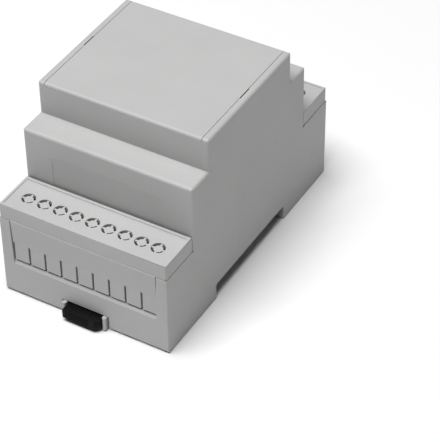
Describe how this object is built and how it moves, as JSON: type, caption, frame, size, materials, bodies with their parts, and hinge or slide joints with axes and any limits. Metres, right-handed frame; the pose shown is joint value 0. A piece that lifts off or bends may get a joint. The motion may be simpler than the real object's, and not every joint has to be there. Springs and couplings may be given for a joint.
{
  "type": "din rail enclosure",
  "caption": "Stepped modular enclosure for a top-hat rail, with a lift-off top panel, perforated terminal covers and a sliding rail clip.",
  "frame": {"origin": "centre of the rail seat, the face that lies on the rail's flanges", "axes": "+Z away from the rail, X along the rail, the sliding clip at -Y"},
  "size_m": [0.0534, 0.0931, 0.058],
  "materials": {
    "case_plastic": "light grey moulded plastic, satin",
    "panel_plastic": "light grey moulded plastic, finely textured",
    "cover_plastic": "light grey moulded plastic, satin",
    "clip_plastic": "black moulded plastic, satin"
  },
  "bodies": {
    "case": {"housing": "case_plastic", "base": "case_plastic"},
    "panel": {"top_panel": "panel_plastic"},
    "front_cover": {"front_terminal_cover": "cover_plastic"},
    "rear_cover": {"rear_terminal_cover": "cover_plastic"},
    "clip": {"rail_clip": "clip_plastic"}
  },
  "joints": [
    {"name": "panel_lift", "type": "slide", "parent": "case", "child": "panel", "axis": [0, 0, 1], "range_m": [0, 0.025]},
    {"name": "front_cover_lift", "type": "slide", "parent": "case", "child": "front_cover", "axis": [0, 0, 1], "range_m": [0, 0.025]},
    {"name": "rear_cover_lift", "type": "slide", "parent": "case", "child": "rear_cover", "axis": [0, 0, 1], "range_m": [0, 0.025]},
    {"name": "clip_slide", "type": "slide", "parent": "case", "child": "clip", "axis": [0, -1, 0], "range_m": [0, 0.004]}
  ]
}
